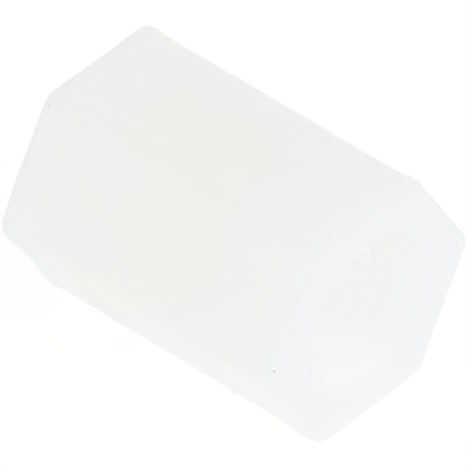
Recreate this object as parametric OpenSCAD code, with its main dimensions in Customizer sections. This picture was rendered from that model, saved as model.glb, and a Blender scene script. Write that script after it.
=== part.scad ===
// Hex standoff: a one-piece nylon spacer, bored and tapped from end to end.
// It lies on one of its flats. X runs along the bore, Z is up, and the origin is on the
// surface that it lies on, under the middle of the part. Sizes are in millimetres.

/* [Body] */
// Length from one end face to the other
body_len = 8; // [6:0.5:30]
// Width across two opposite flats
across_flats = 5.65; // [5:0.05:8]
// Radius of the six rounded long edges
edge_r = 0.45; // [0.1:0.05:0.8]

/* [Bore] */
// Diameter of the bore at the crests of its thread
crest_d = 2.6; // [2:0.05:3.3]
// Diameter of the countersunk mouth at each end
mouth_d = 3.85; // [3.4:0.05:4.6]
// Included angle of each countersink
mouth_angle = 90; // [60:5:120]

/* [Hidden] */

SIDES = 6;
NYLON = [0.95, 0.95, 0.94];
FACETS = 96;
CUT_OVER = 1;
// Angle at which a long edge's arc meets its two flats
EDGE_MEET = 6;

half_turn = 180 / SIDES;
corner_r = across_flats / 2 / cos(half_turn);
edge_centre_r = (across_flats / 2 - edge_r * cos(EDGE_MEET)) / cos(half_turn);
mouth_slope = tan(mouth_angle / 2);
mouth_depth = (mouth_d - crest_d) / 2 / mouth_slope;

// What one corner of the hexagon loses outside the arc that rounds it
module corner_waste() {
    translate([edge_centre_r, 0])
        difference() {
            translate([edge_r * cos(half_turn), -edge_r])
                square([edge_r + CUT_OVER, 2 * edge_r]);
            circle(r = edge_r, $fn = FACETS);
        }
}

// Hexagon with rounded corners and a flat at the top and the bottom
module hex_section() {
    difference() {
        circle(r = corner_r, $fn = SIDES);
        for (corner = [0 : SIDES - 1])
            rotate(corner * 360 / SIDES)
                corner_waste();
    }
}

// Straight bore at the thread's crests, through both end faces
module bore_cut() {
    cylinder(d = crest_d, h = body_len + 2 * CUT_OVER, center = true, $fn = FACETS);
}

// Cone that widens out of the bore to the mouth and runs on past the end face
module mouth_cut() {
    translate([0, 0, body_len / 2 - mouth_depth])
        cylinder(
            d1 = crest_d,
            d2 = mouth_d + 2 * CUT_OVER * mouth_slope,
            h = mouth_depth + CUT_OVER,
            $fn = FACETS
        );
}

// The whole spacer, its bore along Z and its middle at the origin
module upright_standoff() {
    difference() {
        linear_extrude(height = body_len, center = true)
            hex_section();
        bore_cut();
        for (end = [0, 1])
            mirror([0, 0, end])
                mouth_cut();
    }
}

// The spacer laid down on a flat, its bore along X
module standoff() {
    color(NYLON)
        translate([0, 0, across_flats / 2])
            rotate([90, 0, 90])
                upright_standoff();
}

standoff();
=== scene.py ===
"""Hex standoff: a one-piece natural nylon spacer, tapped from end to end.

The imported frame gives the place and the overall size. This script builds the finished surface round the
same axis: the rounded hexagon with its small moulding faults, the cut end faces, the countersinks and the
thread. X runs along the bore, Z is up and the part lies on the plane Z = 0. Sizes here are in millimetres
and are turned into metres when a mesh, a lamp or the camera is made.
"""

import logging
import math
from dataclasses import dataclass, field
from enum import Enum

import bpy
import numpy as np
from mathutils import Matrix, Vector


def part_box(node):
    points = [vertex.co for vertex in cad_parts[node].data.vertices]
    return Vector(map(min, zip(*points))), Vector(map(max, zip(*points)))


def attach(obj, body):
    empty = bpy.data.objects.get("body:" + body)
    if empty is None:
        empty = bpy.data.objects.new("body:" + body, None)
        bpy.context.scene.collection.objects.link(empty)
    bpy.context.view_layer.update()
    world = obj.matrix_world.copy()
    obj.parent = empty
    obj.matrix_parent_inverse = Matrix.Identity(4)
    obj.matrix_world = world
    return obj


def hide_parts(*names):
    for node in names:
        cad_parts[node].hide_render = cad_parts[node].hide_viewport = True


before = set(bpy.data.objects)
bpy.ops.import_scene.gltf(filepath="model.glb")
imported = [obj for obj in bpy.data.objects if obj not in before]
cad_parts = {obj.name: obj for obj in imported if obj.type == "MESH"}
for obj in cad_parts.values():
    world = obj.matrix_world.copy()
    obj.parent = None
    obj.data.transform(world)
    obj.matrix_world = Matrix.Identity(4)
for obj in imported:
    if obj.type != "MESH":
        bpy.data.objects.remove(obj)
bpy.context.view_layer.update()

# One millimetre in metres, the unit of a mesh
MM = 0.001
# Half of the angle that one side of a hexagon takes up, and also the flank angle of a metric thread
HALF_SIXTH = 30
# The wave texture repeats after this length at a scale of 1
WAVE_LENGTH = math.pi / 10
# Light inside milky nylon and its bore bounces far more often than the default of four times
LIGHT_BOUNCES = 48
WHITE = "FFFFFF"
LOG = logging.getLogger("hex_standoff")


def linear_colour(code: str) -> tuple[float, float, float, float]:
    """Turn an sRGB hex colour into the linear colour that a shader socket takes.

    Args:
        code: Six hex digits, such as "F0F0EC".

    Returns:
        Linear red, green, blue and an alpha of 1.
    """
    parts = [int(code[i : i + 2], 16) / 255 for i in (0, 2, 4)]
    linear = [c / 12.92 if c <= 0.04045 else ((c + 0.055) / 1.055) ** 2.4 for c in parts]
    return linear[0], linear[1], linear[2], 1.0


def add_node(
    tree: bpy.types.NodeTree, kind: str, settings: dict[str, object] | None = None, **inputs: object
) -> bpy.types.Node:
    """Add one shader node, with its settings, its values and its links.

    Args:
        tree: The node tree that gets the node.
        kind: The node's type name, such as "ShaderNodeTexNoise".
        settings: Properties of the node, such as {"operation": "MULTIPLY"}.
        **inputs: A value or an output socket for each input. The name is the input's own, with "_" for a
            space, or "in0", "in1" for an input by its number.

    Returns:
        The new node.
    """
    node = tree.nodes.new(kind)
    for name, value in (settings or {}).items():
        setattr(node, name, value)
    for name, value in inputs.items():
        numbered = name.startswith("in") and name[2:].isdigit()
        socket = node.inputs[int(name[2:])] if numbered else node.inputs[name.replace("_", " ")]
        if isinstance(value, bpy.types.NodeSocket):
            tree.links.new(value, socket)
        else:
            socket.default_value = value
    return node


def empty_tree(owner: bpy.types.Material | bpy.types.World) -> bpy.types.NodeTree:
    """Switch a material or a world over to nodes, and empty its node tree.

    Args:
        owner: The material or the world.

    Returns:
        Its node tree, without nodes.
    """
    owner.use_nodes = True
    owner.node_tree.nodes.clear()
    return owner.node_tree


class End(Enum):
    """One of the two ends of the part, by the sign of its X."""

    FRONT = 1
    BACK = -1


@dataclass(frozen=True)
class TappedThread:
    """The metric thread that is tapped through the bore: M3 x 0.5, right-handed.

    Attributes:
        pitch: Distance from one turn to the next.
        crest_r: Radius of the crests, which stand inwards.
        root_r: Radius of the roots.
        root_flat: Width of the flat at the root.
        first_crest: How far behind the front face the first crest lies, at an angle of zero.
        sharpness: How squarely the crests and roots turn into the flanks.
        blend: How softly the thread runs out into the countersink.
        blend_reach: From this far above the thread the cone stays plain.
    """

    pitch: float = 0.5
    crest_r: float = 1.3
    root_r: float = 1.5
    root_flat: float = 0.0625
    first_crest: float = 0.476
    sharpness: float = 1.15
    blend: float = 0.08
    blend_reach: float = 0.2

    def radius(self, x: np.ndarray, angle: np.ndarray, front_x: float) -> np.ndarray:
        """Give the bore's radius on the helix.

        Args:
            x: Places along the bore.
            angle: Angles about the bore, from +Y towards +Z.
            front_x: Where the front end face is.

        Returns:
            The radius of the tapped surface at each place.
        """
        turns = (x - front_x + self.first_crest) / self.pitch - angle / (2 * math.pi)
        from_crest = np.abs(turns - np.round(turns)) * self.pitch
        from_root = self.pitch / 2 - from_crest
        flank = self.root_r - (from_root - self.root_flat / 2) / math.tan(math.radians(HALF_SIXTH))
        middle = (self.root_r + self.crest_r) / 2
        half = (self.root_r - self.crest_r) / 2
        return middle + half * np.tanh((flank - middle) / half * self.sharpness)


@dataclass(frozen=True)
class Countersink:
    """The cone that opens the bore at each end.

    Attributes:
        mouth_r: Radius at the end face.
        slope: Loss of radius for each millimetre of depth.
        edge: Width of the broken edge round the mouth.
    """

    mouth_r: float = 1.925
    slope: float = 1.0
    edge: float = 0.07

    def radius(self, depth: np.ndarray) -> np.ndarray:
        """Give the cone's radius at a depth below its end face, with a slightly broken edge at the mouth."""
        broken = np.clip(self.edge - depth, 0, None) ** 2 / self.edge
        return self.mouth_r - depth * self.slope + broken


@dataclass(frozen=True)
class LongEdge:
    """One of the six rounded edges that run along the part.

    Attributes:
        angle: Place round the part, from +Y towards +Z, in degrees.
        radius: Radius of the edge.
        waist: How far the edge draws in between its two ends.
    """

    angle: float
    radius: float
    waist: float = 0.0


@dataclass(frozen=True)
class Spot:
    """A small place on the outside, strongest at its middle and soft at its limits.

    Attributes:
        x: Place along the part.
        angle: Place round the part, from +Y towards +Z, in degrees.
        length: Reach along the part.
        width: Reach round the part.
    """

    x: float
    angle: float
    length: float
    width: float

    def share(self, x: np.ndarray, angle: np.ndarray, radius: np.ndarray) -> np.ndarray:
        """Give how much of the spot there is at places on the part, from 0 to 1."""
        round_part = np.radians((angle - self.angle + 180) % 360 - 180) * radius
        return np.exp(-(((x - self.x) / self.length) ** 2) - (round_part / self.width) ** 2)


@dataclass(frozen=True)
class Mark(Spot):
    """A bit of flash or a dent, by how far it rises, which is below 0 for a dent."""

    rise: float


@dataclass(frozen=True)
class TonePatch(Spot):
    """A place that takes on another tone, by how much of it, or turns away from it where that is below 0."""

    strength: float


@dataclass(frozen=True)
class Speck:
    """A small dark spot, by its place in the part's own frame, its radius and its darkness: most are specks
    of grime, and a few are painted shade.
    """

    x: float
    y: float
    z: float
    radius: float
    darkness: float


# The long edges at 60 and 240 degrees show most of the flash and dents
FLASH_AND_DENTS = (
    Mark(-4.00, 60, 0.10, 0.25, -0.020),
    Mark(-3.72, 60, 0.08, 0.20, 0.030),
    Mark(3.78, 60, 0.20, 0.25, 0.055),
    Mark(4.00, 52, 0.12, 0.25, -0.030),
    Mark(-3.90, 90, 0.70, 0.90, -0.030),
    Mark(4.00, 240, 0.18, 0.35, -0.045),
    Mark(3.48, 240, 0.26, 0.22, 0.050),
    Mark(2.60, 240, 0.30, 0.30, -0.030),
    Mark(1.66, 240, 0.10, 0.22, -0.015),
    Mark(1.45, 240, 0.09, 0.25, 0.055),
    Mark(1.25, 240, 0.10, 0.25, -0.035),
    Mark(0.88, 240, 0.14, 0.25, -0.025),
    Mark(-3.85, 240, 0.15, 0.25, 0.030),
    Mark(-4.00, 191, 0.20, 0.30, 0.035),
    Mark(-4.00, 212, 0.20, 0.45, -0.030),
    Mark(-4.00, 160, 0.30, 0.75, 0.055),
)
# Grey: a streak beside the upper left edge, a clouded band behind it and a small smudge on the left edge.
# Painted shade: long edges dulled where the light brightens them, and a left edge and a lower flat darker
# towards the back. Painted light: paler corners at the back
GREY_STAINS_AND_PAINTED_SHADING = (
    TonePatch(-0.80, 116.3, 1.90, 0.17, 0.15),
    TonePatch(-1.10, 104, 1.50, 0.60, 0.05),
    # The next three are painted shade: long edges dulled where the light brightens them
    TonePatch(0.60, 121.5, 4.00, 0.22, 0.10),
    TonePatch(0.00, 180, 5.00, 0.30, 0.15),
    TonePatch(0.50, 189, 3.50, 0.18, 0.12),
    # The next two are painted shade: the left edge darker towards the back
    TonePatch(-3.60, 190, 0.60, 0.60, 0.20),
    TonePatch(-2.40, 187, 1.90, 0.35, 0.22),
    # The next two are painted light: paler corners at the back
    TonePatch(-4.00, 76, 0.60, 1.30, -0.10),
    TonePatch(-4.00, 134, 0.60, 0.80, -0.08),
    TonePatch(-3.95, 152, 0.06, 1.30, 0.32),
    # The next one is painted shade: the lower flat darker towards the back
    TonePatch(-2.40, 206, 2.40, 0.90, 0.22),
    TonePatch(2.30, 165, 1.50, 0.90, -0.10),
    TonePatch(-2.65, 175.3, 0.35, 0.12, 0.12),
)
# Yellowish: one patch in the middle of the upper left flat and one on the top
WARM_PATCHES = (
    TonePatch(0.60, 150, 1.20, 1.05, 1.2),
    TonePatch(0.10, 104, 1.10, 0.95, 1.1),
)
# The last four are faint smudges, wider than a speck
SPECKS = (
    Speck(3.97, -3.03, 3.20, 0.034, 1.0),
    Speck(2.92, -2.71, 3.76, 0.024, 0.45),
    Speck(3.98, 1.38, 1.11, 0.030, 0.30),
    Speck(3.43, -1.83, 0.38, 0.030, 0.70),
    Speck(3.49, -1.79, 0.30, 0.030, 0.70),
    # The next three are painted shade: dark spots at the edge of the lower flat, near the long edge at 240
    # degrees
    Speck(1.62, -1.75, 0.26, 0.035, 0.35),
    Speck(2.29, -2.10, 0.84, 0.030, 0.30),
    Speck(2.49, -2.04, 0.75, 0.030, 0.30),
    Speck(3.98, -0.49, 0.28, 0.035, 0.25),
    Speck(3.98, 1.09, 0.14, 0.035, 0.25),
    Speck(2.68, 1.39, 2.87, 0.035, 0.25),
    Speck(3.69, 1.45, 3.54, 0.030, 0.20),
    Speck(-3.96, -1.70, 5.50, 0.035, 0.80),
    Speck(-3.95, -1.80, 5.36, 0.030, 0.90),
    Speck(-3.85, -1.72, 5.46, 0.030, 0.80),
    Speck(-3.96, -2.04, 4.95, 0.035, 0.80),
    Speck(-3.96, -2.46, 4.27, 0.030, 0.35),
    Speck(-3.57, -1.70, 5.48, 0.030, 0.35),
    Speck(-2.79, -1.69, 5.49, 0.035, 0.20),
    # The next three are painted shade: dark spots down the back end of the lower flat
    Speck(-3.82, -2.68, 1.82, 0.035, 0.35),
    Speck(-3.84, -2.36, 1.30, 0.035, 0.35),
    Speck(-3.88, -2.08, 0.79, 0.035, 0.35),
    Speck(-3.95, 1.43, 5.63, 0.045, 0.50),
    Speck(-3.93, 1.63, 5.55, 0.045, 0.50),
    Speck(-3.86, -3.14, 3.01, 0.16, 0.07),
    Speck(3.38, -3.18, 2.90, 0.14, 0.08),
    Speck(3.37, -3.08, 2.50, 0.12, 0.08),
    Speck(2.63, -2.03, 0.69, 0.18, 0.08),
)


@dataclass
class SpacerBody:
    """The whole part as one closed mesh: hexagonal outside, end faces, countersinks and tapped bore.

    Attributes:
        length: Size along the bore.
        across_flats: Size of the hexagon from flat to flat.
        long_edges: The six rounded edges.
        rim: Radius between the outside and an end face.
        cut_rim_share: Share of the rim's width, from the end face on, that the cut has bared.
        thread: The tapped thread.
        countersink: The cone at each end.
        marks: Flash and dents.
        grey_stains_and_painted_shading: Greyer places, and paler ones: a streak, a clouded band and a
            smudge,
        and painted shade and painted light (duller long edges, a left edge and a lower flat darker towards
        the back, paler corners at the back).
        warm_patches: Yellowish places.
        flat_sink: How far the middle of each flat is drawn in by shrinkage.
        flat_sink_width: Share of the flat that is drawn in.
        flare_length: Distance from an end over which flats and edges draw in.
        waist_reach: Width of a drawn-in edge, in degrees round the part.
        front_tilt: Slope of the front face along Y and Z, from a cut that isn't quite square.
        tilt_reach: The tilt fades out over this distance behind the front face.
        face_fade: A mark fades out over the end face this far before the flats' own distance.
        end_tone_length: How far the cooler tone of the ends reaches, which is partly painted light.
        glow_depth: Light runs along the bore's wall, and fully so from this depth on.
        sharp_angle: Edges that turn by more than this stay sharp, in degrees.
        arc_steps: Mesh columns round each long edge.
        flat_steps: Mesh columns across each half of a flat.
        side_rows: Mesh rows along the outside.
        face_rows: Mesh rows across each end face.
        rim_rows: Mesh rows round each rim.
        row_step: Distance between the mesh rows of the bore.
    """

    length: float
    across_flats: float
    long_edges: tuple[LongEdge, ...] = (
        LongEdge(0, 0.45),
        LongEdge(60, 0.45, 0.036),
        LongEdge(120, 0.60),
        LongEdge(180, 0.45),
        LongEdge(240, 0.38, 0.024),
        LongEdge(300, 0.40),
    )
    rim: float = 0.05
    cut_rim_share: float = 0.7
    thread: TappedThread = field(default_factory=TappedThread)
    countersink: Countersink = field(default_factory=Countersink)
    marks: tuple[Mark, ...] = FLASH_AND_DENTS
    grey_stains_and_painted_shading: tuple[TonePatch, ...] = GREY_STAINS_AND_PAINTED_SHADING
    warm_patches: tuple[TonePatch, ...] = WARM_PATCHES
    flat_sink: float = 0.015
    flat_sink_width: float = 0.8
    flare_length: float = 0.3
    waist_reach: float = 14
    front_tilt: tuple[float, float] = (0.0020, 0.0035)
    tilt_reach: float = 1.0
    face_fade: float = 0.2
    end_tone_length: float = 0.9
    glow_depth: float = 0.2
    sharp_angle: float = 40
    arc_steps: int = 14
    flat_steps: int = 9
    side_rows: int = 112
    face_rows: int = 9
    rim_rows: int = 5
    row_step: float = 0.03125

    @property
    def columns(self) -> int:
        """Number of points round each ring."""
        return len(self.long_edges) * (self.arc_steps + 2 * self.flat_steps)

    def outline(self, inset: float = 0.0) -> np.ndarray:
        """Trace the rounded hexagon once round, edge by edge.

        Args:
            inset: How far the outline is moved inwards.

        Returns:
            Points (y, z) about the bore's axis, one for each column.
        """
        half_flat = self.across_flats / 2
        tilt = math.radians(HALF_SIXTH)
        points = []
        for edge in self.long_edges:
            centre = (half_flat - edge.radius) / math.cos(tilt)
            arc = np.linspace(-tilt, tilt, self.arc_steps + 1)
            reach = edge.radius - inset
            local = [(centre + reach * math.cos(a), reach * math.sin(a)) for a in arc]
            middle = (half_flat - inset) * np.array([math.cos(tilt), math.sin(tilt)])
            share = np.linspace(0, 1, self.flat_steps + 1)[1:]
            before = [
                np.array(local[0]) * (1 - s) + middle * np.array([1, -1]) * s for s in share[:-1][::-1]
            ]
            after = [np.array(local[-1]) * (1 - s) + middle * s for s in share]
            turn = math.radians(edge.angle)
            spin = np.array([[math.cos(turn), math.sin(turn)], [-math.sin(turn), math.cos(turn)]])
            points.extend(np.array([*before, *local, *after]) @ spin)
        return np.array(points)

    def ring(self, x: float, inset: float = 0.0) -> np.ndarray:
        """Make one ring of the outside at a place along the part, as points (x, y, z) about the axis."""
        flat = self.outline(inset)
        return np.column_stack([np.full(len(flat), x), flat])

    def side_rings(self) -> list[np.ndarray]:
        """Make the rings of the outside, from the back end to the front."""
        end = self.length / 2 - self.rim
        return [self.ring(x) for x in np.linspace(-end, end, self.side_rows + 1)]

    def rim_rings(self, end: End) -> list[np.ndarray]:
        """Make the rings that round the rim of one end, from the outside inwards.

        Args:
            end: The end that gets the rim.

        Returns:
            The rings, without the one that the outside already has.
        """
        steps = np.radians(np.linspace(0, 90, self.rim_rows + 1)[1:])
        reach = self.length / 2 - self.rim + self.rim * np.sin(steps)
        return [self.ring(end.value * x, self.rim * (1 - math.cos(a))) for x, a in zip(reach, steps)]

    def face_rings(self, end: End) -> list[np.ndarray]:
        """Make the rings of one end face, from its rim to the mouth of the bore.

        Args:
            end: The end that gets the face.

        Returns:
            The rings, without the one that the rim already has.
        """
        outer = self.ring(end.value * self.length / 2, self.rim)
        inner = self.bore_ring(end.value * self.length / 2)
        return [outer * (1 - s) + inner * s for s in np.linspace(0, 1, self.face_rows + 1)[1:]]

    def bore_ring(self, x: float) -> np.ndarray:
        """Make one ring of the bore: the wider of its cone and its thread at that place.

        Args:
            x: The place along the bore.

        Returns:
            Points (x, y, z) about the bore's axis, which start where the outline does.
        """
        first_y, first_z = self.outline()[0]
        spread = np.linspace(0, 2 * math.pi, self.columns, endpoint=False)
        angle = spread + np.arctan2(first_z, first_y)
        depth = self.length / 2 - abs(x)
        cone = self.countersink.radius(np.full(self.columns, depth))
        thread = self.thread.radius(np.full(self.columns, x), angle, self.length / 2)
        apart = cone - thread
        radius = (cone + thread + np.sqrt(apart**2 + self.thread.blend**2)) / 2
        radius = np.where(apart > self.thread.blend_reach, cone, radius)
        return np.column_stack([np.full(self.columns, x), radius * np.cos(angle), radius * np.sin(angle)])

    def bore_rings(self) -> list[np.ndarray]:
        """Make the rings of the bore between its two mouths, from front to back."""
        rows = round(self.length / self.row_step)
        return [self.bore_ring(x) for x in np.linspace(self.length / 2, -self.length / 2, rows + 1)[1:-1]]

    def surface_faults(self, points: np.ndarray) -> np.ndarray:
        """Draw in the flats and edges, press in the marks and tilt the front face.

        All but the tilt fades out over the end faces, towards the bore.

        Args:
            points: Points (x, y, z) about the bore's axis.

        Returns:
            The moved points.
        """
        x, across = points[..., 0], points[..., 1:]
        radius = np.linalg.norm(across, axis=-1)
        angle = np.degrees(np.arctan2(across[..., 1], across[..., 0]))
        half_flat = self.across_flats / 2
        mouth = self.countersink.mouth_r
        share = np.clip((radius - mouth) / (half_flat - mouth - self.face_fade), 0, 1)
        from_end = self.length / 2 - np.abs(x)
        drawn_in = 1 - np.exp(-((from_end / self.flare_length) ** 2))
        across_flat = (angle % (2 * HALF_SIXTH) - HALF_SIXTH) / HALF_SIXTH
        rise = -self.flat_sink * drawn_in * np.clip(1 - (across_flat / self.flat_sink_width) ** 2, 0, 1)
        for edge in self.long_edges:
            off = (angle - edge.angle + 180) % 360 - 180
            rise -= edge.waist * drawn_in * np.exp(-((off / self.waist_reach) ** 2))
        for mark in self.marks:
            rise += mark.rise * mark.share(x, angle, radius)
        moved = points.copy()
        moved[..., 1:] *= (1 + share * rise / radius)[..., None]
        plain_box = np.abs(self.outline()).max(axis=0)
        moved[..., 1:] = np.clip(moved[..., 1:], -plain_box, plain_box)
        tilt = np.array(self.front_tilt)
        cut_back = np.linalg.norm(tilt) * half_flat / math.cos(math.radians(HALF_SIXTH)) - across @ tilt
        moved[..., 0] -= cut_back * np.clip(1 - (self.length / 2 - x) / self.tilt_reach, 0, 1)
        return moved

    def rings(self) -> np.ndarray:
        """Join the rings into one closed loop: outside, front face, bore and back face.

        Returns:
            An array of rows, columns and coordinates (x, y, z) about the bore's axis.
        """
        back_face = [self.ring(-self.length / 2, self.rim), *self.face_rings(End.BACK)]
        back_rim = self.rim_rings(End.BACK)[:-1]
        rows = [
            *self.side_rings(),
            *self.rim_rings(End.FRONT),
            *self.face_rings(End.FRONT),
            *self.bore_rings(),
            *back_face[::-1],
            *back_rim[::-1],
        ]
        return self.surface_faults(np.array(rows))

    def tones(self, rings: np.ndarray) -> dict[str, np.ndarray]:
        """Give the values that tell the material where it is on the part.

        Args:
            rings: All points of the part, at the height that they have in the frame.

        Returns:
            "cut": 1 on the end faces and in the bore. "end": 1 at either end, and less away from it; it
            sets the cooler tone of the ends, which is partly painted light.
            "bore": 1 in the bore, and less close to its mouths. "grey", "warm": how much of those tones
            the skin takes on, which is below 0 where it turns away from them. "grey" also holds painted
            shade and painted light.
        """
        x, y, z = np.moveaxis(rings, -1, 0)
        depth = self.length / 2 - np.abs(x)
        radius = np.hypot(y, z - self.across_flats / 2)
        angle = np.degrees(np.arctan2(z - self.across_flats / 2, y))
        bored = radius < self.countersink.mouth_r
        cut = bored | (depth < self.rim * self.cut_rim_share)
        near_end = np.exp(-((depth / self.end_tone_length) ** 2))
        grey = sum(patch.strength * patch.share(x, angle, radius) for patch in self.grey_stains_and_painted_shading)
        warm = sum(patch.strength * patch.share(x, angle, radius) for patch in self.warm_patches)
        return {
            "cut": np.where(cut, 1.0, 0.0),
            "end": near_end,
            "bore": np.clip(depth / self.glow_depth, 0, 1) * bored,
            "grey": np.where(cut, 0.0, grey),
            "warm": np.where(cut, 0.0, warm),
        }

    def build(self, name: str) -> bpy.types.Object:
        """Build the body as a mesh object.

        Args:
            name: The name of the new object and its mesh.

        Returns:
            The object, linked to the scene, with its place in its mesh.
        """
        rings = self.rings()
        rings[:, :, 2] += self.across_flats / 2
        rows, columns = rings.shape[:2]
        index = np.arange(rows * columns).reshape(rows, columns)
        above = np.roll(index, -1, axis=0)
        faces = np.stack([index, np.roll(index, -1, axis=1), np.roll(above, -1, axis=1), above], axis=-1)
        mesh = bpy.data.meshes.new(name)
        mesh.from_pydata((rings.reshape(-1, 3) * MM).tolist(), [], faces.reshape(-1, 4).tolist())
        mesh.polygons.foreach_set("use_smooth", [True] * len(mesh.polygons))
        mesh.set_sharp_from_angle(angle=math.radians(self.sharp_angle))
        mesh.update()
        for label, values in self.tones(rings).items():
            layer = mesh.attributes.new(label, "FLOAT", "POINT")
            layer.data.foreach_set("value", values.astype(np.float32).ravel())
        obj = bpy.data.objects.new(name, mesh)
        bpy.context.scene.collection.objects.link(obj)
        return obj


@dataclass(frozen=True)
class NaturalNylon:
    """Natural polyamide 6.6, unpigmented: a moulded skin, with ends and a thread that are cut.

    It is milky and lets light through a few millimetres, so thin walls and ends glow, and thick stretches
    turn slightly warmer. The skin has a soft, waxy gloss and a faint orange peel. The cut faces are a little
    duller, with fine tool marks, and cooler: partly their own tone, partly painted cool light. The skin near
    either end is cooler too, which is also partly painted light. A tap tears nylon rather than cuts it, so
    the thread has no gloss, and light that enters its wall spreads through the whole part.

    Attributes:
        skin: Tone of the moulded skin.
        skin_end_and_painted_light: Tone of the skin at either end, cooler: partly its own, partly painted
            light standing in for the light that comes in through the end faces.
        cut_face_and_painted_cool_light: Tone of the end faces, cooler: partly their own, partly painted
            cool light.
        thread: Tone of the countersinks and the thread.
        clouded: Tone of the slow clouding.
        warm: Tone of the yellowish places.
        grey: Tone that the grey places take a share of.
        speck_and_shade_tone: Tone of the specks, and of the spots of painted shade at the edges of the
        lower flat.
        index: Index of refraction.
        skin_roughness: Roughness of the skin.
        cut_roughness: Roughness of the end faces.
        thread_roughness: Roughness of the countersinks and the thread.
        outside_depth: How deep light goes into the skin and the end faces.
        bore_depth: How deep light goes into the wall of the bore.
        cloud_size: Size of the clouds.
        cloud_detail: How much finer structure the clouds have.
        cloud_range: The part of the noise over which the clouding sets in.
        peel_size: Size of the dimples of the orange peel.
        peel_detail: How much finer structure the orange peel has.
        peel_height: Height of the orange peel.
        tool_pitch: Distance between the tool marks, which is about 0.03 mm on the real part and is drawn
            coarser here, so that they show at all.
        tool_height: Height of the tool marks.
        tool_waver: How far the tool marks stray from straight lines.
        specks: The specks of grime, the faint smudges and the spots of painted shade at the edges of the
        lower flat.
    """

    skin: str = "FCFCF4"
    skin_end_and_painted_light: str = "F9FAFF"
    cut_face_and_painted_cool_light: str = "F4F3FF"
    thread: str = "FFFFFE"
    clouded: str = "F9F9F1"
    warm: str = "FCFCF1"
    grey: str = "DADAE1"
    speck_and_shade_tone: str = "8F8C84"
    index: float = 1.53
    skin_roughness: float = 0.40
    cut_roughness: float = 0.50
    thread_roughness: float = 0.90
    outside_depth: float = 2.0
    bore_depth: float = 60.0
    cloud_size: float = 1.3
    cloud_detail: float = 2.0
    cloud_range: tuple[float, float] = (0.55, 0.85)
    peel_size: float = 0.16
    peel_detail: float = 3.0
    peel_height: float = 0.0012
    tool_pitch: float = 0.09
    tool_height: float = 0.0008
    tool_waver: float = 2.0
    specks: tuple[Speck, ...] = SPECKS

    def material(self) -> bpy.types.Material:
        """Make the material.

        Returns:
            The finished material.
        """
        made = bpy.data.materials.new("natural_nylon_moulded_and_cut")
        tree = empty_tree(made)
        place = add_node(tree, "ShaderNodeTexCoord").outputs["Object"]
        cut = add_node(tree, "ShaderNodeAttribute", {"attribute_name": "cut"}).outputs["Fac"]
        bore = add_node(tree, "ShaderNodeAttribute", {"attribute_name": "bore"}).outputs["Fac"]
        depth = add_node(
            tree,
            "ShaderNodeMapRange",
            Value=bore,
            To_Min=self.outside_depth * MM,
            To_Max=self.bore_depth * MM,
        )
        outside_roughness = add_node(
            tree,
            "ShaderNodeMapRange",
            Value=cut,
            To_Min=self.skin_roughness,
            To_Max=self.cut_roughness,
        )
        roughness = add_node(
            tree,
            "ShaderNodeMapRange",
            Value=bore,
            To_Min=outside_roughness.outputs["Result"],
            To_Max=self.thread_roughness,
        )
        shader = add_node(
            tree,
            "ShaderNodeBsdfPrincipled",
            {"subsurface_method": "RANDOM_WALK"},
            Base_Color=self.tone(tree, place, cut, bore),
            Roughness=roughness.outputs["Result"],
            IOR=self.index,
            Normal=self.surface(tree, place, cut),
            Subsurface_Weight=1.0,
            Subsurface_Radius=(1.0, 1.0, 1.0),
            Subsurface_Scale=depth.outputs["Result"],
        )
        add_node(tree, "ShaderNodeOutputMaterial", Surface=shader.outputs["BSDF"])
        return made

    def tone(
        self,
        tree: bpy.types.NodeTree,
        place: bpy.types.NodeSocket,
        cut: bpy.types.NodeSocket,
        bore: bpy.types.NodeSocket,
    ) -> bpy.types.NodeSocket:
        """Make the colour: skin, cut faces and thread, with slow clouding, grey streaks and specks of grime.

        Some of it is painted shade and painted light: in the grey places, in a few dark spots and in the
        cooler tones of the ends.

        Args:
            tree: The material's nodes.
            place: Place in the part's own frame.
            cut: 1 on the end faces and in the bore.
            bore: 1 in the bore, and less close to its mouths.

        Returns:
            The colour's socket.
        """
        cloud = add_node(
            tree,
            "ShaderNodeTexNoise",
            Vector=place,
            Scale=1 / (self.cloud_size * MM),
            Detail=self.cloud_detail,
        )
        clouding = add_node(
            tree,
            "ShaderNodeMapRange",
            Value=cloud.outputs["Fac"],
            From_Min=self.cloud_range[0],
            From_Max=self.cloud_range[1],
        )
        grey_tone = add_node(tree, "ShaderNodeAttribute", {"attribute_name": "grey"})
        warmed = add_node(tree, "ShaderNodeAttribute", {"attribute_name": "warm"})
        end = add_node(tree, "ShaderNodeAttribute", {"attribute_name": "end"})
        layers = (
            (clouding.outputs["Result"], linear_colour(self.clouded)),
            (warmed.outputs["Fac"], linear_colour(self.warm)),
            # Cooler skin at either end and cooler end faces: partly the part's own tone, partly painted cool
            # light
            (end.outputs["Fac"], linear_colour(self.skin_end_and_painted_light)),
            (cut, linear_colour(self.cut_face_and_painted_cool_light)),
            (bore, linear_colour(self.thread)),
            # Grey places, partly painted shade and painted light: duller long edges, a darker back, paler
            # back corners
            (grey_tone.outputs["Fac"], linear_colour(self.grey)),
            # Dark spots: specks of grime and smudges, and a few spots of painted shade at the lower flat's
            # edges
            (self.speck_and_shade_share(tree, place), linear_colour(self.speck_and_shade_tone)),
        )
        colour = linear_colour(self.skin)
        # A share may lie below 0 or above 1, so only the result is clamped. A mix node takes its two
        # colours at its inputs 6 and 7, and gives the mixed one at its output 2.
        for share, over in layers:
            mix = add_node(
                tree,
                "ShaderNodeMix",
                {"data_type": "RGBA", "clamp_factor": False, "clamp_result": True},
                in0=share,
                in6=colour,
                in7=over,
            )
            colour = mix.outputs[2]
        return colour

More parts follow.
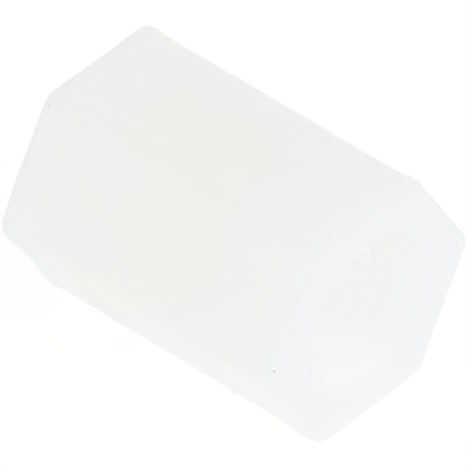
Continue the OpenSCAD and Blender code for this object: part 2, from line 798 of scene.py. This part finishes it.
    def speck_and_shade_share(self, tree: bpy.types.NodeTree, place: bpy.types.NodeSocket) -> bpy.types.NodeSocket:
        """Find how much of the dark tone there is: specks of grime, smudges and a few spots of painted
        shade.

        Args:
            tree: The material's nodes.
            place: Place in the part's own frame.

        Returns:
            A socket that is above 0 on the specks, and highest at their middles.
        """
        share = 0.0
        for speck in self.specks:
            away = add_node(
                tree,
                "ShaderNodeVectorMath",
                {"operation": "DISTANCE"},
                in0=place,
                in1=(speck.x * MM, speck.y * MM, speck.z * MM),
            )
            dark = add_node(
                tree,
                "ShaderNodeMapRange",
                Value=away.outputs["Value"],
                From_Min=speck.radius * MM,
                From_Max=0.0,
                To_Max=speck.darkness,
            )
            both = add_node(
                tree, "ShaderNodeMath", {"operation": "MAXIMUM"}, in0=share, in1=dark.outputs["Result"]
            )
            share = both.outputs["Value"]
        return share

    def surface(
        self, tree: bpy.types.NodeTree, place: bpy.types.NodeSocket, cut: bpy.types.NodeSocket
    ) -> bpy.types.NodeSocket:
        """Make the fine relief: orange peel on the skin and tool marks across the cut faces.

        Args:
            tree: The material's nodes.
            place: Place in the part's own frame.
            cut: 1 on the end faces and in the bore.

        Returns:
            The normal's socket.
        """
        peel = add_node(
            tree,
            "ShaderNodeTexNoise",
            Vector=place,
            Scale=1 / (self.peel_size * MM),
            Detail=self.peel_detail,
        )
        peeled = add_node(
            tree,
            "ShaderNodeBump",
            Height=peel.outputs["Fac"],
            Distance=self.peel_height * MM,
        )
        rows = add_node(
            tree,
            "ShaderNodeTexWave",
            {"bands_direction": "Z"},
            Vector=place,
            Scale=WAVE_LENGTH / (self.tool_pitch * MM),
            Distortion=self.tool_waver,
        )
        marked = add_node(
            tree,
            "ShaderNodeBump",
            Strength=cut,
            Height=rows.outputs["Fac"],
            Distance=self.tool_height * MM,
            Normal=peeled.outputs["Normal"],
        )
        return marked.outputs["Normal"]


@dataclass(frozen=True)
class SoftBox:
    """A square soft lamp that looks at the middle of the part.

    Attributes:
        name: The lamp's name.
        azimuth: Where it stands, in degrees: 0 is -Y and 90 is +X.
        elevation: How far above level it stands, in degrees.
        distance: Distance from the middle of the part.
        size: Side of the square.
        watts: Its power.
        colour: The colour of its light.
    """

    name: str
    azimuth: float
    elevation: float
    distance: float
    size: float
    watts: float
    colour: str

    def build(self, target: Vector) -> bpy.types.Object:
        """Build the lamp.

        Args:
            target: The point that it looks at, in metres.

        Returns:
            The lamp, linked to the scene.
        """
        lamp = bpy.data.lights.new(self.name, "AREA")
        lamp.shape = "SQUARE"
        lamp.size = self.size * MM
        lamp.energy = self.watts
        lamp.color = linear_colour(self.colour)[:3]
        obj = bpy.data.objects.new(self.name, lamp)
        back = direction(self.azimuth, self.elevation)
        obj.location = target + back * self.distance * MM
        obj.rotation_mode = "QUATERNION"
        obj.rotation_quaternion = (-back).to_track_quat("-Z", "Y")
        obj.visible_camera = False
        bpy.context.scene.collection.objects.link(obj)
        return obj


def direction(azimuth: float, elevation: float) -> Vector:
    """Give the unit vector towards a place round the part: azimuth 0 is -Y and 90 is +X, in degrees."""
    a, e = math.radians(azimuth), math.radians(elevation)
    return Vector((math.sin(a) * math.cos(e), -math.cos(a) * math.cos(e), math.sin(e)))


@dataclass
class Studio:
    """The pale table, the white surround and the lamps.

    Attributes:
        sky: Colour of the light from all round.
        sky_strength: Strength of that light.
        table: Colour of the table's paper.
        table_size: Side of the table.
        table_gap: How far the table lies below the part, which keeps the two surfaces apart.
        table_light: Colour of the light that the table gives the part.
        table_glow: Strength of that light.
        table_white: Strength of the white that is seen in the table, above 1 because the paper's own share,
            which is seen with it, is below 1: together they come to white.
        shadow_share: Share of the paper, with the part's shadow, in what is seen of the table.
        lamps: The soft lamps.
    """

    sky: str = "FFFFFD"
    sky_strength: float = 0.738
    table: str = "FAFAFA"
    table_size: float = 3000
    table_gap: float = 0.02
    table_light: str = "FDFEFF"
    table_glow: float = 0.945
    table_white: float = 1.086
    shadow_share: float = 0.3
    lamps: tuple[SoftBox, ...] = (
        SoftBox("key", 75, 60, 120, 90, 0.0185, "EEF3FF"),
        SoftBox("right_fill", 100, 20, 120, 90, 0.0025, "A4C0FF"),
        SoftBox("left_fill", -20, 20, 120, 90, 0.0046, "FFF4E2"),
        SoftBox("back_light", 160, 30, 120, 90, 0.0075, "FFF4E2"),
    )

    def build(self, target: Vector) -> None:
        """Build the surround, the table and the lamps.

        Args:
            target: The point that the lamps look at, in metres.
        """
        self.build_world()
        self.build_table()
        for lamp in self.lamps:
            lamp.build(target)

    def build_world(self) -> None:
        """Make the world: white behind the part, and an even light on it."""
        world = bpy.data.worlds.new("surround")
        tree = empty_tree(world)
        seen = self.seen_directly(tree)
        light = add_node(
            tree, "ShaderNodeBackground", Color=linear_colour(self.sky), Strength=self.sky_strength
        )
        white = add_node(tree, "ShaderNodeBackground", Color=linear_colour(WHITE), Strength=1.0)
        mix = add_node(
            tree,
            "ShaderNodeMixShader",
            in0=seen,
            in1=light.outputs["Background"],
            in2=white.outputs["Background"],
        )
        add_node(tree, "ShaderNodeOutputWorld", Surface=mix.outputs["Shader"])
        bpy.context.scene.world = world

    def build_table(self) -> None:
        """Make the table: plain and pale, white where it is seen, and still showing the part's shadow."""
        half = self.table_size * MM / 2
        mesh = bpy.data.meshes.new("table")
        corners = [(-half, -half), (half, -half), (half, half), (-half, half)]
        mesh.from_pydata([(x, y, -self.table_gap * MM) for x, y in corners], [], [(0, 1, 2, 3)])
        table = bpy.data.objects.new("table", mesh)
        bpy.context.scene.collection.objects.link(table)
        made = bpy.data.materials.new("table_paper")
        tree = empty_tree(made)
        paper = add_node(tree, "ShaderNodeBsdfDiffuse", Color=linear_colour(self.table))
        white = add_node(
            tree, "ShaderNodeEmission", Color=linear_colour(WHITE), Strength=self.table_white
        )
        seen = add_node(
            tree,
            "ShaderNodeMixShader",
            in0=self.shadow_share,
            in1=white.outputs["Emission"],
            in2=paper.outputs["BSDF"],
        )
        glow = add_node(
            tree, "ShaderNodeEmission", Color=linear_colour(self.table_light), Strength=self.table_glow
        )
        mix = add_node(
            tree,
            "ShaderNodeMixShader",
            in0=self.seen_directly(tree),
            in1=glow.outputs["Emission"],
            in2=seen.outputs["Shader"],
        )
        add_node(tree, "ShaderNodeOutputMaterial", Surface=mix.outputs["Shader"])
        mesh.materials.append(made)

    @staticmethod
    def seen_directly(tree: bpy.types.NodeTree) -> bpy.types.NodeSocket:
        """Tell what is seen, in the camera or in a mirror, from what only gives light.

        Args:
            tree: The nodes of the surround or the table.

        Returns:
            A socket that is 1 for camera, glossy and transmission rays and 0 for the rest.
        """
        path = add_node(tree, "ShaderNodeLightPath")
        both = add_node(
            tree,
            "ShaderNodeMath",
            {"operation": "MAXIMUM"},
            in0=path.outputs["Is Camera Ray"],
            in1=path.outputs["Is Glossy Ray"],
        )
        all_three = add_node(
            tree,
            "ShaderNodeMath",
            {"operation": "MAXIMUM"},
            in0=both.outputs["Value"],
            in1=path.outputs["Is Transmission Ray"],
        )
        return all_three.outputs["Value"]


@dataclass(frozen=True)
class TelephotoCamera:
    """A long lens, far from the part, that looks down on its front end and its upper flats.

    Attributes:
        azimuth: Where it stands, in degrees: 0 is -Y and 90 is +X.
        elevation: How far above level it stands, in degrees.
        roll: Turn about its own axis, in degrees.
        lens: Focal length.
        sensor: Width of the sensor.
        distance: Distance from the point it looks at.
        aim_right: How far to its right of the part's middle it looks.
        aim_up: How far above the part's middle it looks.
        nearest: Nearest distance that it sees.
        farthest: Farthest distance that it sees.
    """

    azimuth: float = 43.39
    elevation: float = 41.75
    roll: float = -1.39
    lens: float = 828.3
    sensor: float = 36
    distance: float = 237.4
    aim_right: float = 0.027
    aim_up: float = -0.034
    nearest: float = 10
    farthest: float = 10000

    def build(self, target: Vector) -> bpy.types.Object:
        """Build the camera and make it the scene's own.

        Args:
            target: The middle of the part, in metres.

        Returns:
            The camera, linked to the scene.
        """
        data = bpy.data.cameras.new("camera")
        data.lens = self.lens
        data.sensor_width = self.sensor
        data.clip_start = self.nearest * MM
        data.clip_end = self.farthest * MM
        obj = bpy.data.objects.new("camera", data)
        back = direction(self.azimuth, self.elevation)
        level = (-back).to_track_quat("-Z", "Y").to_matrix()
        turn = level @ Matrix.Rotation(math.radians(self.roll), 3, "Z")
        aim = target + (turn @ Vector((self.aim_right, self.aim_up, 0))) * MM
        obj.matrix_world = Matrix.LocRotScale(aim + back * self.distance * MM, turn, None)
        bpy.context.scene.collection.objects.link(obj)
        bpy.context.scene.camera = obj
        return obj


def main() -> None:
    """Build the part, dress it, and set the studio and the camera round it."""
    logging.basicConfig(level=logging.INFO, format="%(name)s: %(message)s")
    low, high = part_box("standoff")
    middle = (Vector(low) + Vector(high)) / 2
    size = (Vector(high) - Vector(low)) / MM

    TelephotoCamera().build(middle)

    body = SpacerBody(length=size.x, across_flats=size.z)
    piece = body.build("standoff_body")
    piece.data.materials.append(NaturalNylon().material())
    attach(piece, "root")
    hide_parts("standoff")
    LOG.info("%s: %d faces", piece.name, len(piece.data.polygons))

    Studio().build(middle)

    scene = bpy.context.scene
    scene.view_settings.view_transform = "Standard"
    scene.cycles.max_bounces = LIGHT_BOUNCES
    scene.cycles.diffuse_bounces = LIGHT_BOUNCES


if __name__ == "__main__":
    main()
